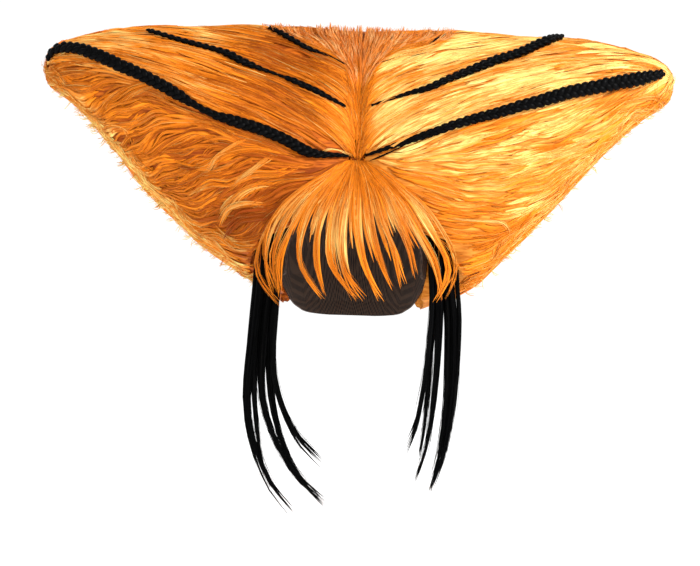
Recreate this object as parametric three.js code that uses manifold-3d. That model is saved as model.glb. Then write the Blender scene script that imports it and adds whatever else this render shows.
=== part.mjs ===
// A costume wig: two broad wings of combed-out orange hair that rise from a head-sized cap,
// with three black plaits on each wing, a crest in the valley between the wings, a fringe over
// the forehead and a long black lock in front of each ear.
// Millimetres. +X is the viewer's right as the wig is seen from in front, +Y is to the back and
// +Z is up. The origin is the inside of the cap at the crown, where the wig sits on a head.
import * as THREE from "three";
import { mergeVertices } from "three/addons/utils/BufferGeometryUtils.js";
import Module from "manifold-3d";

const wasm = await Module();
wasm.setup();

// The head that the cap fits, and the cap.
const HEAD_WIDTH = 150;
const HEAD_LENGTH = 190;
const CROWN_HEIGHT = 85; // from the crown down to the level where the head is widest
const NAPE_TAPER = 130; // how slowly the head narrows below that level
const CAP_WALL = 2;
const CAP_DEPTH = 152; // from the crown down to the cap's edge at the nape
const HAIRLINE_DROP = 50; // from the crown down to the cap's edge over the forehead

// The hair's overall form.
const HALF_SPAN = 308;
const RIM_RISE = 134;
const HEM_DROP = 118;
const CREASE_SETBACK = 17; // from the forehead back to the crease that the lowest plaits lie in
const BROW_SETBACK = 1; // from the forehead back to the front of the hair over it
const BACK_REACH = 120;
const TUCK_UNDER = 160; // how far below the crown the hair would close under the head
const SEAT_GAP = 0.4; // between two pieces that rest on each other
const RIDGE_HEIGHT = 3.2; // of the combed locks that show as ridges
const RIDGES = 12;

// The crest between the wings, and the hair over the back of the head.
const VALLEY_HALF = 7;
const CREST_HALF = 97;
const CREST_SINK = 5; // how far the crest's face lies behind the faces of the wings
const CREST_BACK = 52; // where the crest ends and the back hair begins
const BACK_HALF = 72;

// The gap that the hair leaves for the face, and the pocket on each side for a side lock.
const FACE_TOP = 48;
const TEMPLE_DROP = 72;
const TEMPLE_STANDOFF = 24; // from the side of the head out to the far side of each pocket
const TEMPLE_SETBACK = 61; // from the forehead back to the rear of each pocket

// The plaits, fringe and side locks.
const PLAIT_WIDTH = 13;
const PLAIT_THICK = 6;
const PLAIT_LINK = 18; // length of one crossing of the plait
const FRINGE_HALF = 97;
const FRINGE_DROP = 137;
const FRINGE_STANDOFF = 13; // from the forehead to the face of the fringe
const FRINGE_WRAP = 126; // half the width of the curve that the fringe is bent round
const FRINGE_THICK = 7;
const LOCK_LENGTH = 340; // from the crown down to the longest side lock's tip
const LOCK_WIDTH = 30;
const LOCK_THICK = 13;
const LOCK_SETBACK = 45; // from the forehead back to the side locks

// Where the pieces at the face lie: ahead of the origin, all set from the forehead, and to the
// sides, set from the sides of the head.
const FOREHEAD = HEAD_LENGTH / 2;
const CREASE_AHEAD = FOREHEAD - CREASE_SETBACK;
const BROW_AHEAD = FOREHEAD - BROW_SETBACK;
const FRINGE_AHEAD = FOREHEAD + FRINGE_STANDOFF;
const LOCK_AHEAD = FOREHEAD - LOCK_SETBACK;
const TEMPLE_AHEAD = FOREHEAD - TEMPLE_SETBACK;
const TEMPLE_HALF = HEAD_WIDTH / 2 + TEMPLE_STANDOFF;

// Cross-sections of the whole mass of hair, from the middle out to the tip of a wing.
// reach is a share of HALF_SPAN; rim and crease are heights as shares of RIM_RISE; the two hems
// are heights as shares of HEM_DROP; creaseAhead and browAhead are shares of the two lengths of
// those names; rimBack, back and hemBack are shares of BACK_REACH.
const SECTIONS = [
  { reach: 0.0, rim: 1.01, crease: 0, hemLeft: -1.33, hemRight: -1.33, creaseAhead: 0.77, browAhead: 1.0, rimBack: 0.37, back: 1.0, hemBack: 0.1 },
  { reach: 0.13, rim: 1.025, crease: 0.076, hemLeft: -1.31, hemRight: -1.31, creaseAhead: 0.87, browAhead: 0.96, rimBack: 0.35, back: 0.97, hemBack: 0.1 },
  { reach: 0.246, rim: 1.025, crease: 0.172, hemLeft: -1.15, hemRight: -1.17, creaseAhead: 0.96, browAhead: 0.83, rimBack: 0.32, back: 0.88, hemBack: 0.12 },
  { reach: 0.344, rim: 1.01, crease: 0.248, hemLeft: -0.96, hemRight: -1.09, creaseAhead: 1.0, browAhead: 0.78, rimBack: 0.28, back: 0.77, hemBack: 0.06 },
  { reach: 0.492, rim: 0.99, crease: 0.382, hemLeft: -0.72, hemRight: -0.73, creaseAhead: 0.97, browAhead: 0.74, rimBack: 0.23, back: 0.62, hemBack: 0.02 },
  { reach: 0.656, rim: 0.97, crease: 0.535, hemLeft: -0.315, hemRight: -0.25, creaseAhead: 0.85, browAhead: 0.64, rimBack: 0.18, back: 0.46, hemBack: -0.02 },
  { reach: 0.803, rim: 0.92, crease: 0.659, hemLeft: 0.135, hemRight: 0.18, creaseAhead: 0.63, browAhead: 0.48, rimBack: 0.12, back: 0.33, hemBack: -0.03 },
  { reach: 0.918, rim: 0.855, crease: 0.711, hemLeft: 0.445, hemRight: 0.455, creaseAhead: 0.42, browAhead: 0.33, rimBack: 0.05, back: 0.21, hemBack: -0.03 },
  { reach: 0.977, rim: 0.795, crease: 0.702, hemLeft: 0.53, hemRight: 0.54, creaseAhead: 0.25, browAhead: 0.2, rimBack: 0.01, back: 0.12, hemBack: -0.03 },
  { reach: 1.0, rim: 0.745, crease: 0.66, hemLeft: 0.575, hemRight: 0.6, creaseAhead: 0.09, browAhead: 0.07, rimBack: -0.01, back: 0.03, hemBack: -0.03 },
];

// The six plaits. In each run, across is a share of HALF_SPAN and up a share of RIM_RISE.
const PLAITS = [
  { name: "plait_left_low", side: -1, width: 1.0, run: [
    { across: 0.03, up: 0.012 }, { across: 0.142, up: 0.021 }, { across: 0.222, up: 0.107 },
    { across: 0.31, up: 0.188 }, { across: 0.413, up: 0.246 }, { across: 0.492, up: 0.327 },
    { across: 0.561, up: 0.418 }, { across: 0.649, up: 0.523 }, { across: 0.752, up: 0.623 },
    { across: 0.855, up: 0.71 }, { across: 0.923, up: 0.74 }, { across: 0.962, up: 0.73 }, { across: 0.984, up: 0.68 } ] },
  { name: "plait_left_mid", side: -1, width: 0.8, run: [
    { across: 0.044, up: 0.381 }, { across: 0.141, up: 0.486 }, { across: 0.242, up: 0.582 },
    { across: 0.317, up: 0.634 }, { across: 0.372, up: 0.682 }, { across: 0.433, up: 0.749 },
    { across: 0.515, up: 0.801 }, { across: 0.582, up: 0.839 }, { across: 0.659, up: 0.892 } ] },
  { name: "plait_left_high", side: -1, width: 0.72, run: [
    { across: 0.044, up: 0.702 }, { across: 0.113, up: 0.778 }, { across: 0.169, up: 0.812 },
    { across: 0.21, up: 0.868 }, { across: 0.257, up: 0.926 }, { across: 0.295, up: 0.975 } ] },
  { name: "plait_right_low", side: 1, width: 0.9, run: [
    { across: 0.03, up: 0.025 }, { across: 0.121, up: 0.097 }, { across: 0.225, up: 0.187 },
    { across: 0.338, up: 0.276 }, { across: 0.435, up: 0.345 }, { across: 0.54, up: 0.428 },
    { across: 0.645, up: 0.514 }, { across: 0.75, up: 0.585 }, { across: 0.854, up: 0.644 },
    { across: 0.953, up: 0.7 } ] },
  { name: "plait_right_mid", side: 1, width: 0.8, run: [
    { across: 0.044, up: 0.396 }, { across: 0.156, up: 0.488 }, { across: 0.225, up: 0.533 },
    { across: 0.295, up: 0.603 }, { across: 0.366, up: 0.68 }, { across: 0.435, up: 0.748 },
    { across: 0.506, up: 0.81 }, { across: 0.576, up: 0.89 }, { across: 0.645, up: 0.965 } ] },
  { name: "plait_right_high", side: 1, width: 0.6, run: [
    { across: 0.044, up: 0.707 }, { across: 0.113, up: 0.769 }, { across: 0.169, up: 0.832 },
    { across: 0.213, up: 0.869 }, { across: 0.254, up: 0.939 }, { across: 0.295, up: 0.995 } ] },
];

// The fringe's locks, from the viewer's left. brow, eye and tip are places across as shares of
// FRINGE_HALF; drop is the tip's depth below the crown as a share of FRINGE_DROP.
const FRINGE_LOCKS = [
  { brow: -0.88, eye: -0.955, tip: -0.695, drop: 1.07, width: 3.5 },
  { brow: -0.79, eye: -0.885, tip: -0.755, drop: 0.98, width: 4.5 },
  { brow: -0.69, eye: -0.795, tip: -0.745, drop: 0.96, width: 4.5 },
  { brow: -0.61, eye: -0.715, tip: -0.695, drop: 0.99, width: 8.0 },
  { brow: -0.51, eye: -0.545, tip: -0.285, drop: 0.99, width: 6.5 },
  { brow: -0.36, eye: -0.365, tip: -0.265, drop: 0.98, width: 8.0 },
  { brow: -0.25, eye: -0.225, tip: 0.045, drop: 1.0, width: 6.0 },
  { brow: -0.14, eye: -0.115, tip: 0.105, drop: 1.0, width: 7.0 },
  { brow: 0.02, eye: 0.095, tip: 0.255, drop: 1.0, width: 10.0 },
  { brow: 0.14, eye: 0.245, tip: 0.385, drop: 0.92, width: 7.0 },
  { brow: 0.27, eye: 0.385, tip: 0.485, drop: 0.88, width: 8.0 },
  { brow: 0.4, eye: 0.555, tip: 0.595, drop: 0.84, width: 8.0 },
  { brow: 0.57, eye: 0.805, tip: 0.855, drop: 0.98, width: 9.0 },
  { brow: 0.73, eye: 0.955, tip: 0.805, drop: 1.0, width: 9.0 },
  { brow: 0.84, eye: 1.015, tip: 0.885, drop: 0.98, width: 3.5 },
];

// How far the fringe stands ahead of the origin, as shares of FRINGE_AHEAD, down its drop.
const FRINGE_PROFILE = [
  { drop: 0.0, ahead: 0.6 }, { drop: 0.1, ahead: 0.745 }, { drop: 0.22, ahead: 0.86 },
  { drop: 0.36, ahead: 0.945 }, { drop: 0.6, ahead: 1.0 }, { drop: 0.8, ahead: 1.015 },
  { drop: 1.1, ahead: 1.02 },
];

// The strands of the two black side locks. root, waist, knee and tip are places across from the
// middle as shares of TEMPLE_HALF, at the lock's root, its fullest level, its split and its tip.
const LEFT_LOCK = [
  { root: 0.91, waist: 0.96, knee: 0.995, tip: 0.515, drop: 1.0, width: 0.34 },
  { root: 0.86, waist: 0.92, knee: 0.935, tip: 0.79, drop: 0.9, width: 0.26 },
  { root: 0.8, waist: 0.86, knee: 0.845, tip: 0.205, drop: 0.965, width: 0.36 },
  { root: 0.75, waist: 0.8, knee: 0.75, tip: 0.225, drop: 0.97, width: 0.3 },
  { root: 0.71, waist: 0.74, knee: 0.735, tip: 0.245, drop: 0.85, width: 0.17 },
];
const RIGHT_LOCK = [
  { root: 0.95, waist: 1.015, knee: 1.005, tip: 0.82, drop: 0.917, width: 0.4 },
  { root: 0.88, waist: 0.945, knee: 0.945, tip: 0.8, drop: 0.93, width: 0.34 },
  { root: 0.81, waist: 0.845, knee: 0.825, tip: 0.66, drop: 0.905, width: 0.26 },
  { root: 0.76, waist: 0.795, knee: 0.77, tip: 0.69, drop: 0.83, width: 0.15 },
  { root: 0.74, waist: 0.775, knee: 0.735, tip: 0.565, drop: 0.81, width: 0.13 },
];

// A column of a table at a value of its first column, on a smooth curve through the rows.
function along(rows, key, column, at) {
  const last = rows.length - 1;
  const slope = (i) => {
    const before = rows[Math.max(i - 1, 0)];
    const after = rows[Math.min(i + 1, last)];
    return (after[column] - before[column]) / (after[key] - before[key]);
  };
  let i = rows.findIndex((row) => row[key] >= at) - 1;
  if (i === -2) i = last - 1;
  i = Math.max(i, 0);
  const length = rows[i + 1][key] - rows[i][key];
  const t = THREE.MathUtils.clamp((at - rows[i][key]) / length, 0, 1);
  const rise = rows[i + 1][column] - rows[i][column];
  const a = slope(i) * length - rise;
  const b = rise - slope(i + 1) * length;
  return rows[i][column] + rise * t + t * (1 - t) * (a * (1 - t) + b * t);
}

// A closed surface through rings of equally many points, with a point in the middle of each end.
function skin(rings) {
  const around = rings[0].length;
  const positions = rings.flat().flatMap((p) => [p.x, p.y, p.z]);
  const index = [];
  for (let i = 0; i < rings.length - 1; i++) {
    for (let j = 0; j < around; j++) {
      const a = i * around + j;
      const b = i * around + ((j + 1) % around);
      index.push(a, b, a + around, b, b + around, a + around);
    }
  }
  for (const [start, ring, turn] of [[0, rings[0], 1], [(rings.length - 1) * around, rings.at(-1), -1]]) {
    const middle = ring.reduce((sum, p) => sum.add(p), new THREE.Vector3()).divideScalar(around);
    const hub = positions.length / 3;
    positions.push(middle.x, middle.y, middle.z);
    for (let j = 0; j < around; j++) {
      const pair = [start + j, start + ((j + 1) % around)];
      index.push(hub, ...(turn > 0 ? pair.reverse() : pair));
    }
  }
  const geometry = new THREE.BufferGeometry();
  geometry.setAttribute("position", new THREE.Float32BufferAttribute(positions, 3));
  return geometry.setIndex(index);
}

// A geometry as a solid that can be joined and cut. It turns a surface that faces inwards.
function solidOf(geometry) {
  const bare = geometry.clone();
  bare.deleteAttribute("normal");
  bare.deleteAttribute("uv");
  const merged = mergeVertices(bare, 1e-4);
  const make = (triVerts) =>
    new wasm.Manifold(new wasm.Mesh({ numProp: 3, vertProperties: merged.attributes.position.array, triVerts }));
  const triVerts = new Uint32Array(merged.index.array);
  const made = make(triVerts);
  return made.volume() < 0 ? make(triVerts.reverse()) : made;
}

function join(solids) {
  return solids.reduce((all, next) => all.add(next));
}

// The largest body of a solid, without the slivers that a cut leaves along a shallow edge.
function main(solid) {
  return solid.decompose().sort((a, b) => b.volume() - a.volume())[0];
}

function meshOf(name, solid, material) {
  const { numProp, vertProperties, triVerts } = solid.getMesh();
  const positions = [];
  for (const v of triVerts) positions.push(...vertProperties.subarray(v * numProp, v * numProp + 3));
  const geometry = new THREE.BufferGeometry();
  geometry.setAttribute("position", new THREE.Float32BufferAttribute(positions, 3));
  geometry.computeVertexNormals();
  const mesh = new THREE.Mesh(geometry, material);
  mesh.name = name;
  return mesh;
}

function block(low, high) {
  const size = high.map((v, i) => v - low[i]);
  const box = new THREE.BoxGeometry(...size);
  box.translate(...low.map((v, i) => v + size[i] / 2));
  return solidOf(box);
}

// The mass of hair: one row of SECTIONS at a time, as a closed curve round the hem, brow,
// crease, rim and back.
function sectionAt(x) {
  const reach = Math.min(Math.abs(x) / HALF_SPAN, 1);
  const read = (column) => along(SECTIONS, "reach", column, reach);
  return {
    rim: new THREE.Vector3(x, read("rimBack") * BACK_REACH, read("rim") * RIM_RISE),
    crease: new THREE.Vector3(x, -read("creaseAhead") * CREASE_AHEAD, read("crease") * RIM_RISE),
    hem: new THREE.Vector3(x, read("hemBack") * BACK_REACH, read(x < 0 ? "hemLeft" : "hemRight") * HEM_DROP),
    brow: -read("browAhead") * BROW_AHEAD,
    back: read("back") * BACK_REACH,
  };
}

const STEPS_PER_ANCHOR = 4;
const ANCHORS = 12;

function ridge(share, x) {
  const reach = Math.abs(x) / HALF_SPAN;
  const fade = Math.min(1, 4 * (1 - reach)) * Math.min(1, 0.35 + 2.4 * reach);
  const wave = 0.32 * Math.sin(15 * reach + 5 * share);
  return fade * (0.5 + 0.5 * Math.cos(2 * Math.PI * (RIDGES * share + wave))) - 0.5 * fade;
}

function hairRing(x, outset) {
  const { rim, crease, hem, brow, back } = sectionAt(x);
  const fall = crease.z - hem.z;
  const climb = rim.clone().sub(crease);
  const height = rim.z - hem.z;
  const puff = climb.length() * 0.05;
  const at = (y, z) => new THREE.Vector3(x, y, z);
  const anchors = [
    hem,
    at(THREE.MathUtils.lerp(hem.y, brow, 0.62), hem.z + 0.1 * fall),
    at(THREE.MathUtils.lerp(hem.y, brow, 0.95), hem.z + 0.34 * fall),
    at(THREE.MathUtils.lerp(brow, crease.y, 0.35), hem.z + 0.68 * fall),
    crease,
    at(crease.y + 0.3 * climb.y - puff * 0.6, crease.z + 0.33 * climb.z + puff),
    at(crease.y + 0.64 * climb.y - puff * 0.5, crease.z + 0.7 * climb.z + puff),
    rim,
    at(THREE.MathUtils.lerp(rim.y, back, 0.38), rim.z - 0.13 * height),
    at(THREE.MathUtils.lerp(rim.y, back, 0.84), rim.z - 0.36 * height),
    at(back, rim.z - 0.62 * height),
    at(THREE.MathUtils.lerp(back, hem.y, 0.32), rim.z - 0.89 * height),
  ];
  const curve = new THREE.CatmullRomCurve3(anchors, true, "centripetal");
  const steps = ANCHORS * STEPS_PER_ANCHOR;
  const ring = curve.getPoints(steps).slice(0, steps);
  return ring.map((p, j) => {
    const tangent = ring[(j + 1) % steps].clone().sub(ring[(j + steps - 1) % steps]).normalize();
    const out = new THREE.Vector3(0, -tangent.z, tangent.y);
    return p.clone().addScaledVector(out, outset + RIDGE_HEIGHT * ridge(j / steps, x));
  });
}

const STATIONS = 15;
const TIP_CLOSING = 0.5 * Math.PI * 0.985; // the stations crowd towards the tips, which round off

function hairMass(outset) {
  const rings = [];
  for (let k = -STATIONS; k <= STATIONS; k++) {
    const share = Math.sin((k / STATIONS) * TIP_CLOSING) / Math.sin(TIP_CLOSING);
    rings.push(hairRing(share * HALF_SPAN, outset));
  }
  for (const ring of [rings[0], rings.at(-1)]) {
    for (const p of ring) p.x += Math.sign(p.x) * outset;
  }
  return solidOf(skin(rings));
}

// A point on the front of the hair at a place across and a height, and the way out of it.
function onFront(x, z) {
  const ring = hairRing(x, 0);
  const first = 3 * STEPS_PER_ANCHOR;
  const rim = 7 * STEPS_PER_ANCHOR;
  let j = first;
  while (j < rim - 1 && ring[j + 1].z < z) j++;
  const t = THREE.MathUtils.clamp((z - ring[j].z) / (ring[j + 1].z - ring[j].z), 0, 1);
  const point = ring[j].clone().lerp(ring[j + 1], t);
  const tangent = ring[j + 1].clone().sub(ring[j]).normalize();
  return { point, out: new THREE.Vector3(0, -tangent.z, tangent.y) };
}

// The head with some thickness round it, as a dome that is cut off flat at the neck.
function dome(outset) {
  const steps = 8;
  const depth = TUCK_UNDER + 30;
  const profile = [new THREE.Vector2(0, outset)];
  const radius = HEAD_WIDTH / 2 + outset;
  for (let i = 1; i <= steps; i++) {
    const angle = (i / steps) * (Math.PI / 2);
    profile.push(new THREE.Vector2(radius * Math.sin(angle), outset - (CROWN_HEIGHT + outset) * (1 - Math.cos(angle))));
  }
  for (const share of [0.25, 0.5, 0.75, 1]) {
    const below = share * (depth - CROWN_HEIGHT);
    profile.push(new THREE.Vector2(radius * Math.sqrt(1 - (below / NAPE_TAPER) ** 2), -CROWN_HEIGHT - below));
  }
  profile.push(new THREE.Vector2(0, -depth));
  const lathe = new THREE.LatheGeometry(profile, 24);
  lathe.rotateX(Math.PI / 2);
  lathe.scale(1, (HEAD_LENGTH / 2 + outset) / radius, 1);
  return solidOf(lathe);
}

// A prism along Y between two depths, from an outline in X and Z.
function prismAlongY(shape, from, to) {
  const prism = new THREE.ExtrudeGeometry(shape, { depth: to - from, bevelEnabled: false, curveSegments: 5 });
  prism.rotateX(Math.PI / 2); // the outline's up is now +Z, and the prism runs from 0 to -Y
  prism.translate(0, to, 0);
  return solidOf(prism);
}

function mirrored(points) {
  return [...points, ...points.map(([x, z]) => [-x, z]).reverse()];
}

// The cap: a thin dome, cut to a hairline that rises at the temples, arches over the ears and
// drops to the nape.
function cap() {
  const front = -HEAD_LENGTH;
  const edge = new THREE.Shape();
  edge.moveTo(front, -HAIRLINE_DROP);
  edge.lineTo(-0.4 * HEAD_LENGTH, -HAIRLINE_DROP);
  edge.splineThru(
    [
      [-0.31, 0.43], [-0.255, 0.6], [-0.22, 0.73], [-0.15, 0.735], [-0.085, 0.64],
      [0.03, 0.64], [0.14, 0.82], [0.27, 0.965], [0.4, 1.0],
    ].map(([back, down]) => new THREE.Vector2(back * HEAD_LENGTH, -down * CAP_DEPTH)),
  );
  edge.lineTo(HEAD_LENGTH, -CAP_DEPTH);
  edge.lineTo(HEAD_LENGTH, -2 * CAP_DEPTH);
  edge.lineTo(front, -2 * CAP_DEPTH);
  const cut = new THREE.ExtrudeGeometry(edge, { depth: 2 * HEAD_WIDTH, bevelEnabled: false, curveSegments: 3 });
  cut.rotateX(Math.PI / 2);
  cut.rotateZ(Math.PI / 2);
  cut.translate(-HEAD_WIDTH, 0, 0);
  return dome(CAP_WALL).subtract(dome(0)).subtract(solidOf(cut));
}

// The room for the face and for the side locks, which the wings leave open.
function faceOpening() {
  const outline = mirrored([
    [0.26 * TEMPLE_HALF, -FACE_TOP - 3], [0.5 * TEMPLE_HALF, -FACE_TOP - 10],
    [0.66 * TEMPLE_HALF, 0.1 * FACE_TOP - TEMPLE_DROP], [0.76 * TEMPLE_HALF, -TEMPLE_DROP],
    [0.9 * TEMPLE_HALF, -TEMPLE_DROP - 4], [0.99 * TEMPLE_HALF, -TEMPLE_DROP - 22],
    [1.05 * TEMPLE_HALF, -TEMPLE_DROP - 46], [1.05 * TEMPLE_HALF, -2 * CAP_DEPTH],
  ]);
  const shape = new THREE.Shape(outline.map(([x, z]) => new THREE.Vector2(x, z)));
  return prismAlongY(shape, -HEAD_LENGTH, -TEMPLE_AHEAD);
}

// The outline of the crest from in front: a narrow valley that opens into a fan.
function crestOutline(outset) {
  const top = 2 * RIM_RISE;
  const half = VALLEY_HALF + outset;
  const right = [
    [half, -4], [half + 2, 0.64 * RIM_RISE], [half + 10, 0.73 * RIM_RISE - outset],
    [0.37 * CREST_HALF + outset, 0.825 * RIM_RISE - outset], [0.55 * CREST_HALF + outset, 0.88 * RIM_RISE - outset],
    [0.82 * CREST_HALF + outset, 0.975 * RIM_RISE - outset], [CREST_HALF + outset, 1.03 * RIM_RISE - outset],
    [CREST_HALF + outset, top],
  ];
  return new THREE.Shape(mirrored(right).map(([x, z]) => new THREE.Vector2(x, z)));
}

// A lock of hair: a flat tapered tube through points, each with the way that its face looks.
function lock(path, width, thick, sides = 6) {
  const rings = path.map(({ point, out, swell }, i) => {
    const before = path[Math.max(i - 1, 0)].point;
    const after = path[Math.min(i + 1, path.length - 1)].point;
    const tangent = after.clone().sub(before).normalize();
    const across = new THREE.Vector3().crossVectors(tangent, out).normalize();
    const up = new THREE.Vector3().crossVectors(across, tangent).normalize();
    return Array.from({ length: sides }, (_, j) => {
      const angle = (2 * Math.PI * (j + 0.5)) / sides;
      return point
        .clone()
        .addScaledVector(across, (Math.cos(angle) * width * swell.width) / 2)
        .addScaledVector(up, (Math.sin(angle) * thick * swell.thick) / 2);
    });
  });
  return solidOf(skin(rings));
}

// A plait on the face of a wing. It narrows towards the parting and swells at each crossing.
function plait({ side, width, run }) {
  const rows = run.map((row, i) => ({ ...row, step: i / (run.length - 1) }));
  const start = run[0].across * HALF_SPAN;
  const end = run.at(-1).across * HALF_SPAN;
  const steps = 2 * Math.round((1.1 * (end - start)) / PLAIT_LINK);
  const path = [];
  for (let i = 0; i <= steps; i++) {
    const t = i / steps;
    const x = side * along(rows, "step", "across", t) * HALF_SPAN;
    const z = along(rows, "step", "up", t) * RIM_RISE;
    const { point, out } = onFront(x, z);
    const taper = Math.min(1, 0.5 + 1.6 * t);
    const crossing = i % 2 ? 1.0 : 0.82;
    const close = i === steps ? 0.6 : 1;
    point.addScaledVector(out, 0.36 * PLAIT_THICK * taper);
    path.push({ point, out, swell: { width: taper * crossing * close, thick: taper * close } });
  }
  return lock(path, PLAIT_WIDTH * width, PLAIT_THICK, 5);
}

// The depth of the fringe's curve at a place across and a height.
function fringeDepth(x, z) {
  const ahead = along(FRINGE_PROFILE, "drop", "ahead", Math.max(-z / FRINGE_DROP, 0)) * FRINGE_AHEAD;
  const turn = 2.6;
  const bend = (1 - Math.min(Math.abs(x) / FRINGE_WRAP, 0.99) ** turn) ** (1 / turn);
  return -ahead * bend;
}

function fringeLock({ brow, eye, tip, drop, width }) {
  const down = [0, 0.14, 0.3, 0.5, 0.76, 0.93, 1];
  const places = [0.1, 0.4, 0.75, 1].map((share) => share * brow);
  places.push(eye, THREE.MathUtils.lerp(eye, tip, 0.62), tip);
  const curve = new THREE.CatmullRomCurve3(
    places.map((place, i) => {
      const x = place * FRINGE_HALF;
      const z = -Math.max(down[i] * drop, 0.012) * FRINGE_DROP;
      return new THREE.Vector3(x, fringeDepth(x, z), z);
    }),
  );
  const steps = 8;
  const path = [];
  for (let i = 0; i <= steps; i++) {
    const t = i / steps;
    const point = curve.getPoint(t);
    const out = new THREE.Vector3(point.x / FRINGE_WRAP, point.y / FRINGE_AHEAD, 0.15).normalize();
    const body = Math.sin(Math.PI * Math.min(0.16 + 0.55 * t, 1));
    const swell = { width: (0.7 + 0.8 * (1 - t)) * body * (1 - 0.75 * t ** 5), thick: 0.95 * (1 - t) ** 0.8 + 0.28 };
    path.push({ point, out, swell });
  }
  return lock(path, Math.max(width, 4.5) + 2.5, FRINGE_THICK, 4);
}

// The fringe's solid upper part: a thin fan, to which its locks are sewn.
function fringeBacking() {
  const columns = 10;
  const rings = [0.015, 0.09, 0.2, 0.32, 0.44].map((down) => {
    const z = -down * FRINGE_DROP;
    const half = FRINGE_HALF * Math.min(0.05 + 2.45 * down, 0.62 + 0.46 * down);
    const row = (inset) =>
      Array.from({ length: columns + 1 }, (_, i) => {
        const x = half * ((2 * i) / columns - 1);
        return new THREE.Vector3(x, fringeDepth(x, z) + inset, z);
      });
    return [...row(0), ...row(0.6 * FRINGE_THICK).reverse()];
  });
  return solidOf(skin(rings));
}

// A side lock: strands that are one bundle at the temple and part lower down.
function sideLock(side, strands) {
  return join(
    strands.map(({ root, waist, knee, tip, drop, width }, i) => {
      const spread = (i / (strands.length - 1) - 0.5) * 0.7 * LOCK_THICK;
      const depth = -LOCK_AHEAD + (i % 2 ? 0.14 : -0.14) * LOCK_THICK;
      const at = (place, down, ahead) =>
        new THREE.Vector3(side * place * TEMPLE_HALF, depth - ahead, -down * drop * LOCK_LENGTH);
      const rootDown = (TEMPLE_DROP + 1) / LOCK_LENGTH / drop;
      const curve = new THREE.CatmullRomCurve3([
        at(root, rootDown, 0),
        at(root + 0.3 * (waist - root), 0.36, 2),
        at(waist, 0.5, 4 + 0.2 * spread),
        at(knee, 0.72, 6 + 0.5 * spread),
        at(THREE.MathUtils.lerp(knee, tip, 0.42), 0.9, 8 + spread),
        at(tip, 1, 10 + spread),
      ]);
      const steps = 7;
      const path = [];
      for (let k = 0; k <= steps; k++) {
        const t = k / steps;
        const taper = 1 - 0.86 * t ** 2.2;
        const point = curve.getPoint(t);
        path.push({ point, out: new THREE.Vector3(0, -1, 0.05), swell: { width: taper, thick: 0.25 + 0.75 * (1 - t) } });
      }
      return lock(path, 1.25 * width * LOCK_WIDTH, LOCK_THICK);
    }),
  );
}

const orangeHair = new THREE.MeshStandardMaterial({ color: 0xe48a36, roughness: 0.5 });
const gingerHair = new THREE.MeshStandardMaterial({ color: 0xd9772a, roughness: 0.55 });
const blackHair = new THREE.MeshStandardMaterial({ color: 0x0b0b0c, roughness: 0.38 });
const capNet = new THREE.MeshStandardMaterial({ color: 0x2b211c, roughness: 0.9 });

const wig = new THREE.Group();
const far = 2 * HALF_SPAN;
const hair = hairMass(0);
const hairAndGap = hairMass(SEAT_GAP);
const headRoom = dome(CAP_WALL + SEAT_GAP);
const crestRoom = prismAlongY(crestOutline(SEAT_GAP), -far, CREST_BACK);
const backRoom = block([-BACK_HALF - SEAT_GAP, CREST_BACK, -far], [BACK_HALF + SEAT_GAP, far, far]);
const combed = hair.subtract(headRoom).subtract(faceOpening());
const wings = combed.subtract(crestRoom).subtract(backRoom);
const leftHalf = block([-far, -far, -far], [-SEAT_GAP / 2, far, far]);
const rightHalf = block([SEAT_GAP / 2, -far, -far], [far, far, far]);

wig.add(meshOf("cap", cap(), capNet));
wig.add(meshOf("wing_left", main(wings.intersect(leftHalf)), orangeHair));
wig.add(meshOf("wing_right", main(wings.intersect(rightHalf)), orangeHair));

const crest = hair
  .translate([0, CREST_SINK, 0])
  .subtract(headRoom)
  .intersect(prismAlongY(crestOutline(0), -far, CREST_BACK - SEAT_GAP));
wig.add(meshOf("crest", main(crest), gingerHair));

const backHair = combed.intersect(block([-BACK_HALF, CREST_BACK + SEAT_GAP, -far], [BACK_HALF, far, far]));
wig.add(meshOf("back_hair", main(backHair), orangeHair));

const plaits = PLAITS.map((row) => ({ name: row.name, solid: main(plait(row).subtract(hairAndGap)) }));
for (const { name, solid } of plaits) wig.add(meshOf(name, solid, blackHair));

const sideRoom = hairAndGap.subtract(faceOpening()).add(headRoom);
wig.add(meshOf("side_lock_left", main(sideLock(-1, LEFT_LOCK).subtract(sideRoom)), blackHair));
wig.add(meshOf("side_lock_right", main(sideLock(1, RIGHT_LOCK).subtract(sideRoom)), blackHair));

const fringe = join([fringeBacking(), ...FRINGE_LOCKS.map(fringeLock)]);
const fringeRoom = join([sideRoom, sideLock(-1, LEFT_LOCK), sideLock(1, RIGHT_LOCK), ...plaits.map((p) => p.solid)]);
wig.add(meshOf("fringe", main(fringe.subtract(fringeRoom)), orangeHair));

export default wig;
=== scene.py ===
# %% [markdown]
# # A costume wig with plaited wings
# A stage wig is a net cap with hair sewn on in rows. On this one the hair is combed out
# sideways from a centre parting into two stiff wings, black plaits are laid over each wing,
# and a fringe and two black side locks frame the face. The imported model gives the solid
# forms. This lesson covers them with combed hair.

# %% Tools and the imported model
import math

import bmesh
import bpy
import numpy as np
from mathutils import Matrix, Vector, noise
from mathutils.bvhtree import BVHTree


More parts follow.
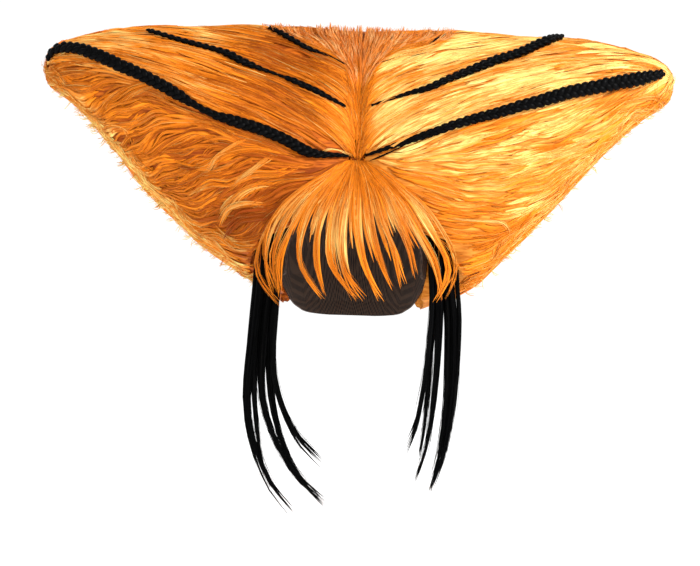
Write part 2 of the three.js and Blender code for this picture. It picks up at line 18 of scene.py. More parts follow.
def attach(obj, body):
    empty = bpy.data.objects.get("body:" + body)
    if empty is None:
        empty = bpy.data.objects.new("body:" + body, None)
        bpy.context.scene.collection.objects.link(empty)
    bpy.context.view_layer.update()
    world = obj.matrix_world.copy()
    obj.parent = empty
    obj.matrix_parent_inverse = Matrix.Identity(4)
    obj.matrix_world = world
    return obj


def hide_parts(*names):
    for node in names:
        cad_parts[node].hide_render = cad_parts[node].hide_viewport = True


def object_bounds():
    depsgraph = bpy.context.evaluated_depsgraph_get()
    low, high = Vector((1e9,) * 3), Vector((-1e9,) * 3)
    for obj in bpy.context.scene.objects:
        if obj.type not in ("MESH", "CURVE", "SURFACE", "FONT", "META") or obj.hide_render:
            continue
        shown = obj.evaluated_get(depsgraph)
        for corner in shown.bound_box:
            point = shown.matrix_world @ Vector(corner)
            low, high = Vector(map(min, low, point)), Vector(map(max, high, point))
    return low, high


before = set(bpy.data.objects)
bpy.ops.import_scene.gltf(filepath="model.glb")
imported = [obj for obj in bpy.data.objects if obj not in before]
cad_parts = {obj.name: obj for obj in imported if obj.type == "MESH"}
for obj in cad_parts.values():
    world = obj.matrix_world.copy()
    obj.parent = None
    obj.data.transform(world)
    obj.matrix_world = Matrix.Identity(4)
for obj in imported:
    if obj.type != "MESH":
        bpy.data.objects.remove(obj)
cad_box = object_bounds()
print("nodes:", sorted(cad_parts))

# %% [markdown]
# ## Camera, floor and light
# The view is straight from the front, from far enough away that both wing tips keep their
# size. The camera is turned a little, because the wig hangs slightly down on one side. A
# white surround lights everything softly, and one large lamp on the right gives the hair its
# shine. A brighter white is shown to the camera than lights the hair, as in a photo studio
# with a separately lit background.

# %% Camera
VIEW_DISTANCE = 2.2
VIEW_WIDTH = 0.679
ORIGIN_TO_VIEW_PLANE = 0.04
VIEW_TILT = math.radians(1.77)
VIEW_CENTRE = (-0.003, -0.119)


def object_from(data, name):
    made = bpy.data.objects.new(name, data)
    bpy.context.collection.objects.link(made)
    return made


def add_camera():
    data = bpy.data.cameras.new("camera")
    data.sensor_width = 36
    data.lens = 36 * VIEW_DISTANCE / VIEW_WIDTH
    camera = object_from(data, "camera")
    camera.location = (VIEW_CENTRE[0], -VIEW_DISTANCE - ORIGIN_TO_VIEW_PLANE, VIEW_CENTRE[1])
    camera.rotation_euler = (math.pi / 2, -VIEW_TILT, 0)
    bpy.context.scene.camera = camera
    return camera


camera = add_camera()
print("lens", round(camera.data.lens, 1), "mm")

# %% Floor
FLOOR_GAP = 0.002
WHITE = (1, 1, 1, 1)


def new_material(name, sockets):
    """A material with the given sockets of its shader set, with its node tree and its shader."""
    material = bpy.data.materials.new(name)
    material.use_nodes = True
    shader = material.node_tree.nodes["Principled BSDF"]
    for socket, value in sockets.items():
        shader.inputs[socket].default_value = value
    return material, material.node_tree, shader


def mesh_from(bm, name):
    data = bpy.data.meshes.new(name)
    bm.to_mesh(data)
    bm.free()
    return data


def add_floor():
    bm = bmesh.new()
    bmesh.ops.create_grid(bm, x_segments=2, y_segments=2, size=6)
    bmesh.ops.translate(bm, verts=bm.verts, vec=(0, 0, cad_box[0][2] - FLOOR_GAP))
    floor = object_from(mesh_from(bm, "floor"), "floor")
    pale, _, _ = new_material("floor", {
        "Base Color": (0.93, 0.93, 0.93, 1), "Roughness": 0.9,
        "Emission Color": WHITE, "Emission Strength": 0.42,
    })
    floor.data.materials.append(pale)


add_floor()
print("floor at z =", round(cad_box[0][2] - FLOOR_GAP, 3))

# %% Light


def add_surround(seen, lighting):
    world = bpy.data.worlds.new("studio")
    world.use_nodes = True
    tree = world.node_tree
    tree.nodes.clear()
    output = tree.nodes.new("ShaderNodeOutputWorld")
    mix = tree.nodes.new("ShaderNodeMixShader")
    path = tree.nodes.new("ShaderNodeLightPath")
    for socket, strength in ((mix.inputs[1], lighting), (mix.inputs[2], seen)):
        background = tree.nodes.new("ShaderNodeBackground")
        background.inputs["Color"].default_value = WHITE
        background.inputs["Strength"].default_value = strength
        tree.links.new(background.outputs[0], socket)
    tree.links.new(path.outputs["Is Camera Ray"], mix.inputs[0])
    tree.links.new(mix.outputs[0], output.inputs["Surface"])
    bpy.context.scene.world = world


def add_lamp(name, place, aim, width, watts):
    data = bpy.data.lights.new(name, "AREA")
    data.size = width
    data.energy = watts
    lamp = object_from(data, name)
    lamp.location = place
    lamp.rotation_euler = (Vector(aim) - Vector(place)).to_track_quat("-Z", "Y").to_euler()


add_surround(seen=1.05, lighting=0.72)
add_lamp("key", place=(1.7, -1.5, 1.1), aim=(0.05, 0, 0), width=0.8, watts=68)
add_lamp("fill", place=(-1.5, -2.0, 0.4), aim=(-0.1, 0, 0), width=1.2, watts=14)
bpy.context.scene.view_settings.view_transform = "Standard"

# %% [markdown]
# ## Hair finish
# Wig fibre is smooth plastic. It is coloured right through, each fibre a little different,
# and it shines along its length. Three things make that here. Every lock carries its own tone
# as an attribute on its mesh. A group of nodes draws fine streaks along each lock from the
# attributes *across* and *along*. And a bump from the same streaks breaks up the shine.
# Besides, the shine is partly painted: a pale value on every ring of a lock mixes in a pale
# colour, which is partly painted highlight and partly the fibres' own blond.

# %% Node helpers


def srgb(red, green, blue):
    def linear(value):
        share = value / 255
        return share / 12.92 if share <= 0.04045 else ((share + 0.055) / 1.055) ** 2.4

    return (linear(red), linear(green), linear(blue), 1)


def add_node(tree, kind, inputs=None, **settings):
    made = tree.nodes.new(kind)
    for key, value in settings.items():
        setattr(made, key, value)
    for key, value in (inputs or {}).items():
        socket = made.inputs[key]
        if isinstance(value, bpy.types.NodeSocket):
            tree.links.new(value, socket)
        else:
            socket.default_value = value
    return made


def calculate(tree, operation, *values):
    made = add_node(tree, "ShaderNodeMath", dict(enumerate(values)), operation=operation)
    return made.outputs[0]


def blend_color(tree, amount, first, second):
    made = add_node(tree, "ShaderNodeMix", {0: amount, 6: first, 7: second}, data_type="RGBA")
    return made.outputs[2]


def spread(tree, value, low, high):
    inputs = {"Value": value, "From Min": low, "From Max": high}
    return add_node(tree, "ShaderNodeMapRange", inputs, interpolation_type="SMOOTHSTEP").outputs[0]


def noise_in(tree, place, detail):
    inputs = {"Vector": place, "Scale": 1.0, "Detail": detail}
    return add_node(tree, "ShaderNodeTexNoise", inputs).outputs["Fac"]


def finish(tree, shader, color, height, strength, distance):
    """Gives a shader its colour, and a bump of so many metres from a height."""
    bump = add_node(tree, "ShaderNodeBump", {"Height": height, "Strength": strength, "Distance": distance})
    tree.links.new(color, shader.inputs["Base Color"])
    tree.links.new(bump.outputs[0], shader.inputs["Normal"])


# %% Streak group
STREAKS_ACROSS, STREAKS_ALONG = 9.0, 2.2
TONE_SHIFT = 61.0  # moves the streaks of locks that differ in tone apart


def streak_group():
    group = bpy.data.node_groups.new("hair_streaks", "ShaderNodeTree")
    sockets = group.interface
    for name in ("Across", "Along", "Tone", "Streaks"):
        sockets.new_socket(name, in_out="INPUT", socket_type="NodeSocketFloat")
    for name in ("Streak", "Sheen", "Height"):
        sockets.new_socket(name, in_out="OUTPUT", socket_type="NodeSocketFloat")
    given = group.nodes.new("NodeGroupInput").outputs
    place = add_node(group, "ShaderNodeCombineXYZ", {
        "X": calculate(group, "MULTIPLY", given["Across"], given["Streaks"]),
        "Y": calculate(group, "MULTIPLY", given["Along"], STREAKS_ALONG),
        "Z": calculate(group, "MULTIPLY", given["Tone"], TONE_SHIFT),
    }).outputs[0]
    broader = add_node(group, "ShaderNodeVectorMath", {0: place, 1: (0.24, 1.6, 1.0)}, operation="MULTIPLY")
    fine = noise_in(group, place, 3.0)
    broad = noise_in(group, broader.outputs[0], 1.0)
    taken = group.nodes.new("NodeGroupOutput").inputs
    group.links.new(spread(group, fine, 0.3, 0.72), taken["Streak"])
    group.links.new(spread(group, broad, 0.35, 0.7), taken["Sheen"])
    group.links.new(fine, taken["Height"])
    return group


hair_streaks = streak_group()
print("made group", hair_streaks.name)

# %% Hair materials


def attribute(tree, name):
    return add_node(tree, "ShaderNodeAttribute", attribute_name=name).outputs["Fac"]


def hair_material(name, deep, middle, pale, roughness, gloss):
    material, tree, shader = new_material(name, {"Roughness": roughness, "Specular IOR Level": gloss})
    tone = attribute(tree, "tone")
    drawn = add_node(tree, "ShaderNodeGroup", {
        "Across": attribute(tree, "across"), "Along": attribute(tree, "along"), "Tone": tone,
        "Streaks": STREAKS_ACROSS,
    }, node_tree=hair_streaks).outputs
    mixed = calculate(tree, "MULTIPLY_ADD", drawn["Streak"], 0.5, calculate(tree, "MULTIPLY", tone, 0.62))
    body = blend_color(tree, spread(tree, mixed, 0.05, 0.95), deep, middle)
    # Painted highlight, partly also the fibres' own blond: the pale colour is mixed in by the pale value and
    # broad streaks.
    sheen = calculate(tree, "MULTIPLY_ADD", drawn["Sheen"], 0.5, 0.55)
    shine = calculate(tree, "MULTIPLY", attribute(tree, "pale"), sheen)
    color = blend_color(tree, spread(tree, shine, 0.06, 0.95), body, pale)
    finish(tree, shader, color, drawn["Height"], 0.4, 0.0004)
    return material


orange_hair = hair_material(
    "orange_hair", srgb(150, 62, 4), srgb(244, 140, 22), srgb(255, 232, 140), roughness=0.5, gloss=0.12)
ginger_hair = hair_material(
    "ginger_hair", srgb(168, 78, 18), srgb(244, 142, 48), srgb(255, 212, 145), roughness=0.5, gloss=0.15)
black_hair = hair_material(
    "black_hair", srgb(1, 1, 1), srgb(4, 4, 5), srgb(10, 11, 11), roughness=0.4, gloss=0.045)
print("materials:", [m.name for m in (orange_hair, ginger_hair, black_hair)])

# %% [markdown]
# ## The surface that the hair is combed over
# Locks have to lie on the wings as they do on the real wig, so every lock is walked over the
# solid in small steps. The solids are first fused into one smooth skin, which has no gaps
# between the wings and no small ridges for a lock to stumble over. This skin is only felt
# for, and is not part of the wig.

# %% A smooth skin to comb over
MM = 0.001
DOME = (79, 99, 89)  # how far the dome in the hollow reaches from its centre, in mm
DOME_DROP = 85


def merged_copy(node):
    """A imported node's mesh with its seams merged. The node itself stays as it is."""
    bm = bmesh.new()
    bm.from_mesh(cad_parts[node].data)
    bmesh.ops.remove_doubles(bm, verts=bm.verts, dist=1e-6)
    return bm


def smooth_skin(nodes, voxel):
    """The solids as one surface. A dome fills the hollow, so that no lock strays into it."""
    bm = bmesh.new()
    for node in nodes:
        bm.from_mesh(mesh_from(merged_copy(node), "part_of_skin"))
    dome = bmesh.ops.create_uvsphere(bm, u_segments=32, v_segments=20, radius=1)["verts"]
    bmesh.ops.scale(bm, verts=dome, vec=[reach * MM for reach in DOME])
    bmesh.ops.translate(bm, verts=dome, vec=(0, 0, -DOME_DROP * MM))
    skin = object_from(mesh_from(bm, "skin"), "skin")
    remesh = skin.modifiers.new("fuse", "REMESH")
    remesh.mode = "VOXEL"
    remesh.voxel_size = voxel
    smooth = skin.modifiers.new("smooth", "SMOOTH")
    smooth.iterations = 8
    shaped = skin.evaluated_get(bpy.context.evaluated_depsgraph_get())
    tree = BVHTree.FromObject(shaped, bpy.context.evaluated_depsgraph_get())
    count = len(shaped.data.polygons)
    bpy.data.objects.remove(skin)
    return tree, count


skin, skin_faces = smooth_skin(("wing_left", "wing_right", "crest", "back_hair"), 4 * MM)
print("skin faces:", skin_faces)

# %% [markdown]
# ## Which way the hair is combed
# From in front, the hair leaves the parting steeply and soon runs along the plaits, up and
# out. Below the lowest plait it first falls outwards from the brow, then levels off and
# follows the lower edge up to the tip. On the left it was set in waves. One function gives
# this direction as an angle, from the place on the wig. The edges that it needs are short
# tables in millimetres from the parting.

# %% Edges of the wings from in front
RIM = [(0, 135), (75, 137), (150, 133), (200, 130), (245, 123), (280, 115), (300, 107), (308, 98)]
HEM = {
    "left": [(0, -157), (40, -155), (76, -136), (106, -113), (152, -85), (202, -37), (247, 16), (283, 52),
             (308, 70)],
    "right": [(0, -157), (40, -155), (76, -138), (106, -129), (152, -86), (202, -30), (247, 21), (283, 54),
              (308, 72)],
}
PLAIT_ROUTES = {
    "plait_left_low": [(-9, 2), (-44, 3), (-68, 14), (-95, 25), (-127, 33), (-152, 44), (-173, 56),
                       (-200, 70), (-232, 83), (-263, 95), (-284, 99), (-296, 98), (-303, 91)],
    "plait_left_mid": [(-13, 51), (-43, 65), (-75, 78), (-98, 85), (-115, 91), (-133, 100),
                       (-159, 107), (-179, 112), (-203, 119), (-209, 121)],
    "plait_left_high": [(-13, 94), (-35, 104), (-52, 109), (-65, 116), (-79, 124), (-91, 130)],
    "plait_right_low": [(9, 3), (37, 13), (69, 25), (104, 37), (134, 46), (166, 57), (199, 69),
                        (231, 78), (263, 86), (294, 94)],
    "plait_right_mid": [(13, 53), (48, 65), (69, 71), (91, 81), (113, 91), (134, 100), (156, 108),
                        (177, 119), (199, 129)],
    "plait_right_high": [(13, 95), (35, 103), (52, 111), (66, 116), (78, 126), (91, 132)],
}


def read_table(rows, across):
    xs, values = zip(*rows)
    return float(np.interp(across, xs, values))


def parting_to_tip(route):
    return sorted((abs(x), z) for x, z in route)


def side_of(x):
    return "left" if x < 0 else "right"


SIGN = {"left": -1, "right": 1}
CREST_BORDER = [(14, 84), (18, 91), (29, 102), (43, 108), (58, 110), (71, 114), (87, 122), (96, 133)]
CREASE = {side: [(0, 0)] + parting_to_tip(PLAIT_ROUTES[f"plait_{side}_low"]) for side in SIGN}

# %% Combing direction
HEM_ANGLE = 43
BELOW = {  # the angle well below the lowest plait, at places across
    "left": [(0, -60), (30, -52), (60, -36), (95, -26), (140, -22), (190, -24), (235, -30), (275, -8),
             (308, 10)],
    "right": [(0, -56), (30, -44), (60, -26), (95, -8), (140, 6), (190, 16), (240, 24), (285, 22), (308, 8)],
}


def smoothstep(value):
    value = min(max(value, 0.0), 1.0)
    return value * value * (3 - 2 * value)


def lerp(first, second, share):
    return first + (second - first) * share


def front_angle(x, z):
    """Degrees above the horizontal, outwards, that the hair is combed at on the front."""
    side, across = side_of(x), abs(x)
    crease = read_table(CREASE[side], across)
    drop = (crease - z) / max(crease - read_table(HEM[side], across), 1)
    above = 21 + 52 * math.exp(-across / 20) - 12 * smoothstep((across - 225) / 70)
    drift = noise.noise(Vector((x / 50, z / 20, 0)))
    if drop <= 0:
        return above + 9 * drift
    angle = lerp(above, read_table(BELOW[side], across), smoothstep(drop / 0.4))
    at_hem = smoothstep((across - 100) / 40) * smoothstep((300 - across) / 30)
    angle = lerp(angle, HEM_ANGLE, at_hem * smoothstep((drop - 0.78) / 0.2))
    angle += (38 if side == "left" else 16) * drift * smoothstep(drop / 0.3) * smoothstep((across - 40) / 50)
    from_parting = math.degrees(math.atan2(z - 8, across))
    near = 1 - smoothstep((math.hypot(across, z) - 25) / 45)
    return lerp(angle, from_parting, near)


def comb(place, out):
    """The way the hair is combed at a place in metres, along the surface."""
    x, y, z = place / MM
    sign = SIGN[side_of(x)]
    if out.y < 0.25:
        angle = math.radians(front_angle(x, z))
        way = Vector((sign * math.cos(angle), 0, math.sin(angle)))
    else:
        outwards = smoothstep((abs(x) - 30) / 70)
        rise = 0.3 + 0.35 * smoothstep((abs(x) - 100) / 150)
        way = Vector((x / 90, 0, -1)).lerp(Vector((sign, 0, rise)), outwards)
    way -= out * way.dot(out)
    return way.normalized()


# %% [markdown]
# ## Walking a lock over the surface
# A lock starts at a root and takes small steps along the combing direction. After every step
# it is put back on the skin, so it follows the curve of the wing. Near an edge it may come to
# a stop, so its path is measured and cut again into equal steps.

# %% Walk
LOCK_POINTS = 10
WAVE_LENGTH = 38 * MM
FREE_LENGTH = 13 * MM


def in_hollow(place, size=1.12):
    x, y, z = place / MM
    return (x / DOME[0]) ** 2 + (y / DOME[1]) ** 2 + ((z + DOME_DROP) / DOME[2]) ** 2 < size


def resample(points, outs, count):
    points, outs = np.array(points), np.array(outs)
    lengths = np.concatenate([[0], np.cumsum(np.linalg.norm(np.diff(points, axis=0), axis=1))])
    stations = np.linspace(0, lengths[-1], count)
    even = np.stack([np.interp(stations, lengths, points[:, i]) for i in range(3)], axis=1)
    facing = np.stack([np.interp(stations, lengths, outs[:, i]) for i in range(3)], axis=1)
    facing /= np.linalg.norm(facing, axis=1)[:, None]
    return even, facing, lengths[-1]


def walk(start, length, turn=0.0, wave=0.0, phase=0.0, direction=comb, fly_above=None, rise=0.0, overhang=2):
    """A path over the skin. It bears off by turn degrees at its tip and swings by wave degrees.

    Above fly_above it leaves the skin, and bends upwards by rise. Past an edge, or at the hollow,
    it goes straight on for overhang half steps.
    """
    place, out, _, _ = skin.find_nearest(start)
    points, outs = [place], [out]
    steps = LOCK_POINTS + 4
    step = length / steps
    way, flown = None, 0
    for i in range(steps):
        share = i / steps
        free = fly_above is not None and place.z > fly_above
        if free and way:
            way = (way + Vector((0, 0, rise))).normalized()
        else:
            way = direction(place, out)
            swing = wave * math.sin(phase + 2 * math.pi * i * step / WAVE_LENGTH)
            bend = math.radians(turn * share * share + swing)
            way = way * math.cos(bend) + out.cross(way) * math.sin(bend)
        ahead = place + way * step
        if free:
            place = ahead
            flown += step
            if flown > FREE_LENGTH:
                break
        else:
            place, near_out, _, _ = skin.find_nearest(ahead)
            if (place - points[-1]).length < 0.35 * step or in_hollow(place):
                onward = points[-1] - points[-4] if i > 3 else way
                sideways = 0.2 * math.copysign(onward.length, out.y)
                onward = Vector((onward.x, sideways, onward.z)).normalized()
                points += [points[-1] + onward * step * 0.5 * (k + 1) for k in range(overhang)]
                outs += [out] * overhang
                break
            out = (out + near_out).normalized()
        points.append(place.copy())
        outs.append(out.copy())
    return resample(points, outs, LOCK_POINTS)


# %% [markdown]
# ## From paths to hair
# Each lock is a flat tapered ribbon with a rounded top, and a few single strands run over it.
# There are thousands, so they aren't modelled one by one: all ribbons of a piece are worked
# out together as one array and become one mesh. Every strand is a closed tube of three sides,
# which is enough for something half a millimetre thick.

# %% Many tubes as one mesh
RIBBON = np.array([(1, 0), (0.5, 0.85), (-0.5, 0.85), (-1, 0), (0, -0.4)])
STRAND = np.array([(math.cos(a), math.sin(a)) for a in (math.pi / 2, 7 * math.pi / 6, 11 * math.pi / 6)])


def unit(vectors):
    return vectors / np.maximum(np.linalg.norm(vectors, axis=-1, keepdims=True), 1e-9)


def frames(paths, outs):
    tangents = unit(np.gradient(paths, axis=1))
    sides = unit(np.cross(tangents, outs))
    return sides, np.cross(sides, tangents)


def tubes(batch):
    """Corner points, faces and the values of the points, for closed tubes on many paths."""
    paths, section = batch["paths"], batch["section"]
    count, rings, _ = paths.shape
    corners = len(section)
    sides, ups = frames(paths, batch["outs"])
    wide = (batch["half_widths"][:, :, None] * section[:, 0])[..., None] * sides[:, :, None]
    high = (batch["half_thicks"][:, :, None] * section[:, 1])[..., None] * ups[:, :, None]
    points = (paths[:, :, None] + wide + high).reshape(-1, 3)
    here = np.arange(corners)
    there = np.roll(here, -1)
    wall = np.stack([here, here + corners, there + corners, there], axis=1)
    walls = (wall + corners * np.arange(rings - 1)[:, None, None]).reshape(-1, 4)
    starts = (corners * rings * np.arange(count))[:, None, None]
    quads = (walls + starts).reshape(-1, 4).tolist()
    ends = np.stack([here, here[::-1] + corners * (rings - 1)])
    caps = (ends + starts).reshape(-1, corners).tolist()
    return points, quads + caps, {
        "across": np.tile(section[:, 0] * 0.5 + 0.5, count * rings),
        "along": np.tile(np.repeat(np.linspace(0, 1, rings), corners), count),
        "tone": np.repeat(batch["tones"], rings * corners),
        "pale": np.repeat(batch["pales"].ravel(), corners),
    }


def add_piece(data, name, material, replaced=()):
    data.shade_smooth()
    data.materials.append(material)
    piece = object_from(data, name)
    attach(piece, "root")
    if replaced:
        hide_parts(*replaced)


def hair_piece(name, batches, material=orange_hair, slot="orange_hair", replaced=()):
    """One mesh from batches of tubes. Each batch has a tone for a tube and a pale value for a ring."""
    points, faces, values, start = [], [], [], 0
    for batch in batches:
        corners, made, carried = tubes(batch)
        faces += [[start + v for v in face] for face in made]
        points.append(corners)
        values.append(carried)
        start += len(corners)
    data = bpy.data.meshes.new(name)
    data.from_pydata(np.concatenate(points), [], faces)
    for key in values[0]:
        joined = np.concatenate([carried[key] for carried in values])
        data.attributes.new(key, "FLOAT", "POINT").data.foreach_set("value", joined)
    add_piece(data, name, material, replaced)
    print(name, "triangles:", sum(len(face) - 2 for face in faces))


# %% Ribbons and strands on lock paths
ALONG = np.linspace(0, 1, LOCK_POINTS)
rng = np.random.default_rng(11)


def some_mm(low, high):
    return rng.uniform(low, high) * MM


def lock_shape(along, taper):
    """How full a lock is: thin at the root, full in the middle and pointed at the tip."""
    rise = np.clip((along + 0.04) / 0.3, 0, 1)
    return (0.12 + 0.88 * rise * rise * (3 - 2 * rise)) * (1 - along**taper) + 0.04


def ribbon_batch(locks, taper=3.2):
    """Ribbons that are tucked in at the root and rise towards the tip."""
    paths, outs, widths, lifts, tones, pales = (
        np.array([lock[key] for lock in locks]) for key in ("path", "out", "width", "lift", "tone", "pale"))
    widths, lifts = widths[:, None], lifts[:, None]
    along = np.linspace(0, 1, paths.shape[1])
    shape = lock_shape(along, taper)
    raised = paths + outs * (lifts * (1.3 * along - 0.1) * (1 - 0.45 * along**3))[..., None]
    return {
        "paths": raised, "outs": outs, "section": RIBBON, "tones": tones, "pales": pales,
        "half_widths": widths / 2 * shape, "half_thicks": np.minimum(widths * 0.1, 0.75 * MM) * shape,
    }


def strand_batch(ribbons, per_lock, radius, stray, rings=9):
    """Single strands that run over each ribbon, and leave it a little towards the tip."""
    paths, outs, half_widths, half_thicks, tones, pales = (
        np.repeat(ribbons[key], per_lock, axis=0)
        for key in ("paths", "outs", "half_widths", "half_thicks", "tones", "pales"))
    count, path_points, _ = paths.shape
    along = np.linspace(0, 1, path_points)
    sides, ups = frames(paths, outs)
    across = rng.uniform(-1, 1, (count, 1))
    drift = rng.normal(0, 1, (count, 1)) * stray * along**2
    turns = along * rng.uniform(4, 9, (count, 1)) + rng.uniform(0, 6, (count, 1))
    wave = rng.normal(0, 0.35 * stray, (count, 1)) * np.sin(turns)
    height = half_thicks * (1 - across**2) + radius * rng.uniform(0.1, 1.6, (count, 1))
    height = height + np.abs(rng.normal(0, 0.35 * stray, (count, 1))) * along
    paths = paths + sides * (across * half_widths + drift + wave)[..., None] + ups * height[..., None]
    first = rng.uniform(0, 0.22, (count, 1))
    last = rng.uniform(0.78, 1.0, (count, 1))
    at = (first + (last - first) * np.linspace(0, 1, rings)) * (path_points - 1)
    low = np.minimum(at.astype(int), path_points - 2)
    share = (at - low)[..., None]
    rows = np.arange(count)[:, None]
    thin = radius * (1 - 0.75 * np.linspace(0, 1, rings) ** 3) * rng.uniform(0.75, 1.25, (count, 1))
    return {
        "paths": paths[rows, low] * (1 - share) + paths[rows, low + 1] * share,
        "outs": outs[rows, low], "section": STRAND, "half_widths": thin, "half_thicks": thin,
        "tones": np.clip(tones + rng.normal(0, 0.24, count), 0, 1),
        "pales": np.clip(pales[rows, low] + rng.normal(0, 0.2, (count, 1)), 0, 1),
    }


def lock_piece(name, locks, per_lock, radius, stray, rings=9, taper=3.2, **how):
    """A piece of ribbons, with single strands over each. The radius and the stray are in mm."""
    ribbons = ribbon_batch(locks, taper)
    strands = strand_batch(ribbons, per_lock, radius * MM, stray * MM, rings)
    hair_piece(name, [ribbons, strands], **how)


# %% [markdown]
# ## Under the locks
# Between the locks a real wig shows its inner hair, in shade. Each solid of hair gets a
# smooth copy a little below the surface, so that no gap shows through. Its dark colour is painted
# shade; on the right wing, which faces the key lamp, the copy is painted lighter.

# %% Inner hair, in painted shade
INNER_SINK = 0.8 * MM


def inner_hair(node, material):
    bm = merged_copy(node)
    bmesh.ops.recalc_face_normals(bm, faces=bm.faces)
    bm.normal_update()
    moved = [(v, v.normal.copy()) for v in bm.verts]
    for vert, out in moved:
        vert.co -= out * INNER_SINK
    name = f"{node}_inner"
    add_piece(mesh_from(bm, name), name, material, (node,))


def inner_shade_material(name, deep, light):
    material, tree, shader = new_material(name, {"Roughness": 0.6, "Specular IOR Level": 0.1})
    place = add_node(tree, "ShaderNodeTexCoord").outputs["Object"]
    stretched = add_node(tree, "ShaderNodeMapping", {"Vector": place, "Scale": (60, 60, 420)})
    grain = noise_in(tree, stretched.outputs[0], 3.0)
    finish(tree, shader, blend_color(tree, spread(tree, grain, 0.3, 0.75), deep, light), grain, 0.6, 0.001)
    return material


# Painted shade: the inner copies are darker than the hair over them. The right wing's copy is lighter, as
# painted light from the key lamp.
inner_shade_orange = inner_shade_material("inner_shade_orange_hair", srgb(128, 52, 6), srgb(206, 104, 22))
inner_lit_shade = inner_shade_material("inner_lit_shade_hair", srgb(196, 108, 30), srgb(240, 156, 62))
for node in ("wing_left", "wing_right", "back_hair"):
    inner_hair(node, inner_lit_shade if node == "wing_right" else inner_shade_orange)
inner_shade_ginger = inner_shade_material("inner_shade_ginger_hair", srgb(120, 54, 12), srgb(190, 98, 34))
inner_hair("crest", inner_shade_ginger)

# %% [markdown]
# ## The wings
# Locks are scattered over each wing and laid like shingles: a root lies under the tips of the
# locks before it. The right wing has light patches, so locks there turn pale in the middle
# where they bend towards the light.

# %% Roots on the wings


def cast(x, z, from_front):
    start = Vector((x * MM, (-0.4 if from_front else 0.4), z * MM))
    hit, out, _, _ = skin.ray_cast(start, Vector((0, 1 if from_front else -1, 0)))
    return hit, out


def in_face_opening(x, z):
    return abs(x) < 103 and z < -48 - 24 * smoothstep((abs(x) - 30) / 36)


def scatter(side, count, from_front, least=3):
    """Roots on a wing, at least so many mm from the parting: x, z and the point on the skin."""
    sign = SIGN[side]
    roots = []
    while len(roots) < count:
        across = rng.uniform(least, 300)
        z = rng.uniform(-150, 136)
        if z < read_table(HEM[side], across) + 2 or z > read_table(RIM, across) - 1:
            continue
        hit, _ = cast(sign * across, z, from_front)
        if hit and not (from_front and in_face_opening(across, z)):
            roots.append((sign * across, z, hit))
    return roots


def patchiness(x, z):
    """How light a place is, from 0 to 1, in patches drawn out along the hair."""
    sign = SIGN[side_of(x)]
    turned = Vector((x * 0.95 + sign * z * 0.3, -sign * x * 0.3 + z * 0.95, 0))
    wide = noise.noise(Vector((turned.x / 48, turned.y / 13, 3.7 * sign)))
    small = noise.noise(Vector((turned.x / 20, turned.y / 6, 9.1 * sign)))
    return min(max(0.5 + 0.8 * wide + 0.5 * small, 0), 1)


def tone_and_painted_light(x, z):
    """The tone and paleness of the hair at a place, from the parting outwards. Both are partly the hair's own
    colour and partly painted light: the right wing, which faces the key lamp, is painted lighter and paler
    than the left, and a fold of the left wing is painted in shade.
    """
    side, across = side_of(x), abs(x)
    below = smoothstep((read_table(CREASE[side], across) - z) / 30)
    at_hem = smoothstep((read_table(HEM[side], across) + 26 - z) / 22) * smoothstep((across - 70) / 40)
    at_hem *= 1 - 0.7 * smoothstep((across - 245) / 35)
    at_rim = smoothstep((z - read_table(RIM, across) + 30) / 22)
    if side == "left":
        inner = smoothstep((across - 18) / 25) * (1 - smoothstep((across - 105) / 55))
        upper = (1 - below) * smoothstep((across - 110) / 60)
        # A dark patch where the left wing bends in is painted shade.
        fold = math.exp(-(((across - 103) / 24) ** 2) - ((z + 58) / 9) ** 2)
        tone = 0.68 - 0.6 * fold - 0.24 * below - (0.48 - 0.1 * below) * inner + 0.55 * at_hem + 0.12 * at_rim
        pale = 0.22 - 0.06 * below - 0.14 * inner + 1.2 * at_hem + 0.3 * at_rim + 0.2 * upper
        return tone - 0.05 * upper, pale
    # The right wing faces the key lamp: its high tone and paleness are partly painted light, partly its
    # fibres' own blond.
    low = below * smoothstep((-z - 18) / 34) * (1 - smoothstep((across - 115) / 50))
    outwards = smoothstep((across - 4) / 20)
    if across < 98:
        outwards *= 1 - smoothstep((z - read_table(CREST_BORDER, across)) / 3)
    return lerp(0.5, 1.0 - 0.3 * low, outwards), outwards * (1.08 - 0.46 * below - 0.35 * low + 0.25 * at_rim)


SHORTEST_LOCK = 9 * MM


def make_lock(root, x, z, length, width, lift, **how):
    """A lock walked from a root at x and z, coloured by where it lies, or None where it has no room."""
    phase = abs(x) / 8 + 3 * noise.noise(Vector((x, 0, z)) / 50) + rng.normal(0, 0.4)
    path, out, reached = walk(root, length, phase=phase, **how)
    if reached < SHORTEST_LOCK:
        return None
    seen = [(px, pz) for px, _, pz in path / MM]
    patch = patchiness(*seen[LOCK_POINTS // 2])
    tone = tone_and_painted_light(*seen[LOCK_POINTS // 2])[0] + 0.5 * (patch - 0.5) + rng.uniform(-0.18, 0.18)
    paleness = np.array([tone_and_painted_light(*place)[1] for place in seen])
    # Painted highlight: a pale band along the middle of each lock, wider on the right wing, which faces the
    # key lamp.
    breadth = 0.34 if x < 0 else 0.55
    glow = np.exp(-((ALONG - rng.uniform(0.3, 0.65)) / breadth) ** 2) * paleness * (0.25 + 0.95 * patch)
    return {
        "path": path, "out": out, "width": width * min(1, reached / length + 0.25), "lift": lift,
        "tone": min(max(tone, 0), 1), "pale": np.clip(glow, 0, 1),
    }


def below_plait(side, x, z):
    """0 above the lowest plait, rising to 1 a little way below it."""
    return smoothstep((read_table(CREASE[side], abs(x)) - z) / 26) * smoothstep((abs(x) - 45) / 40)


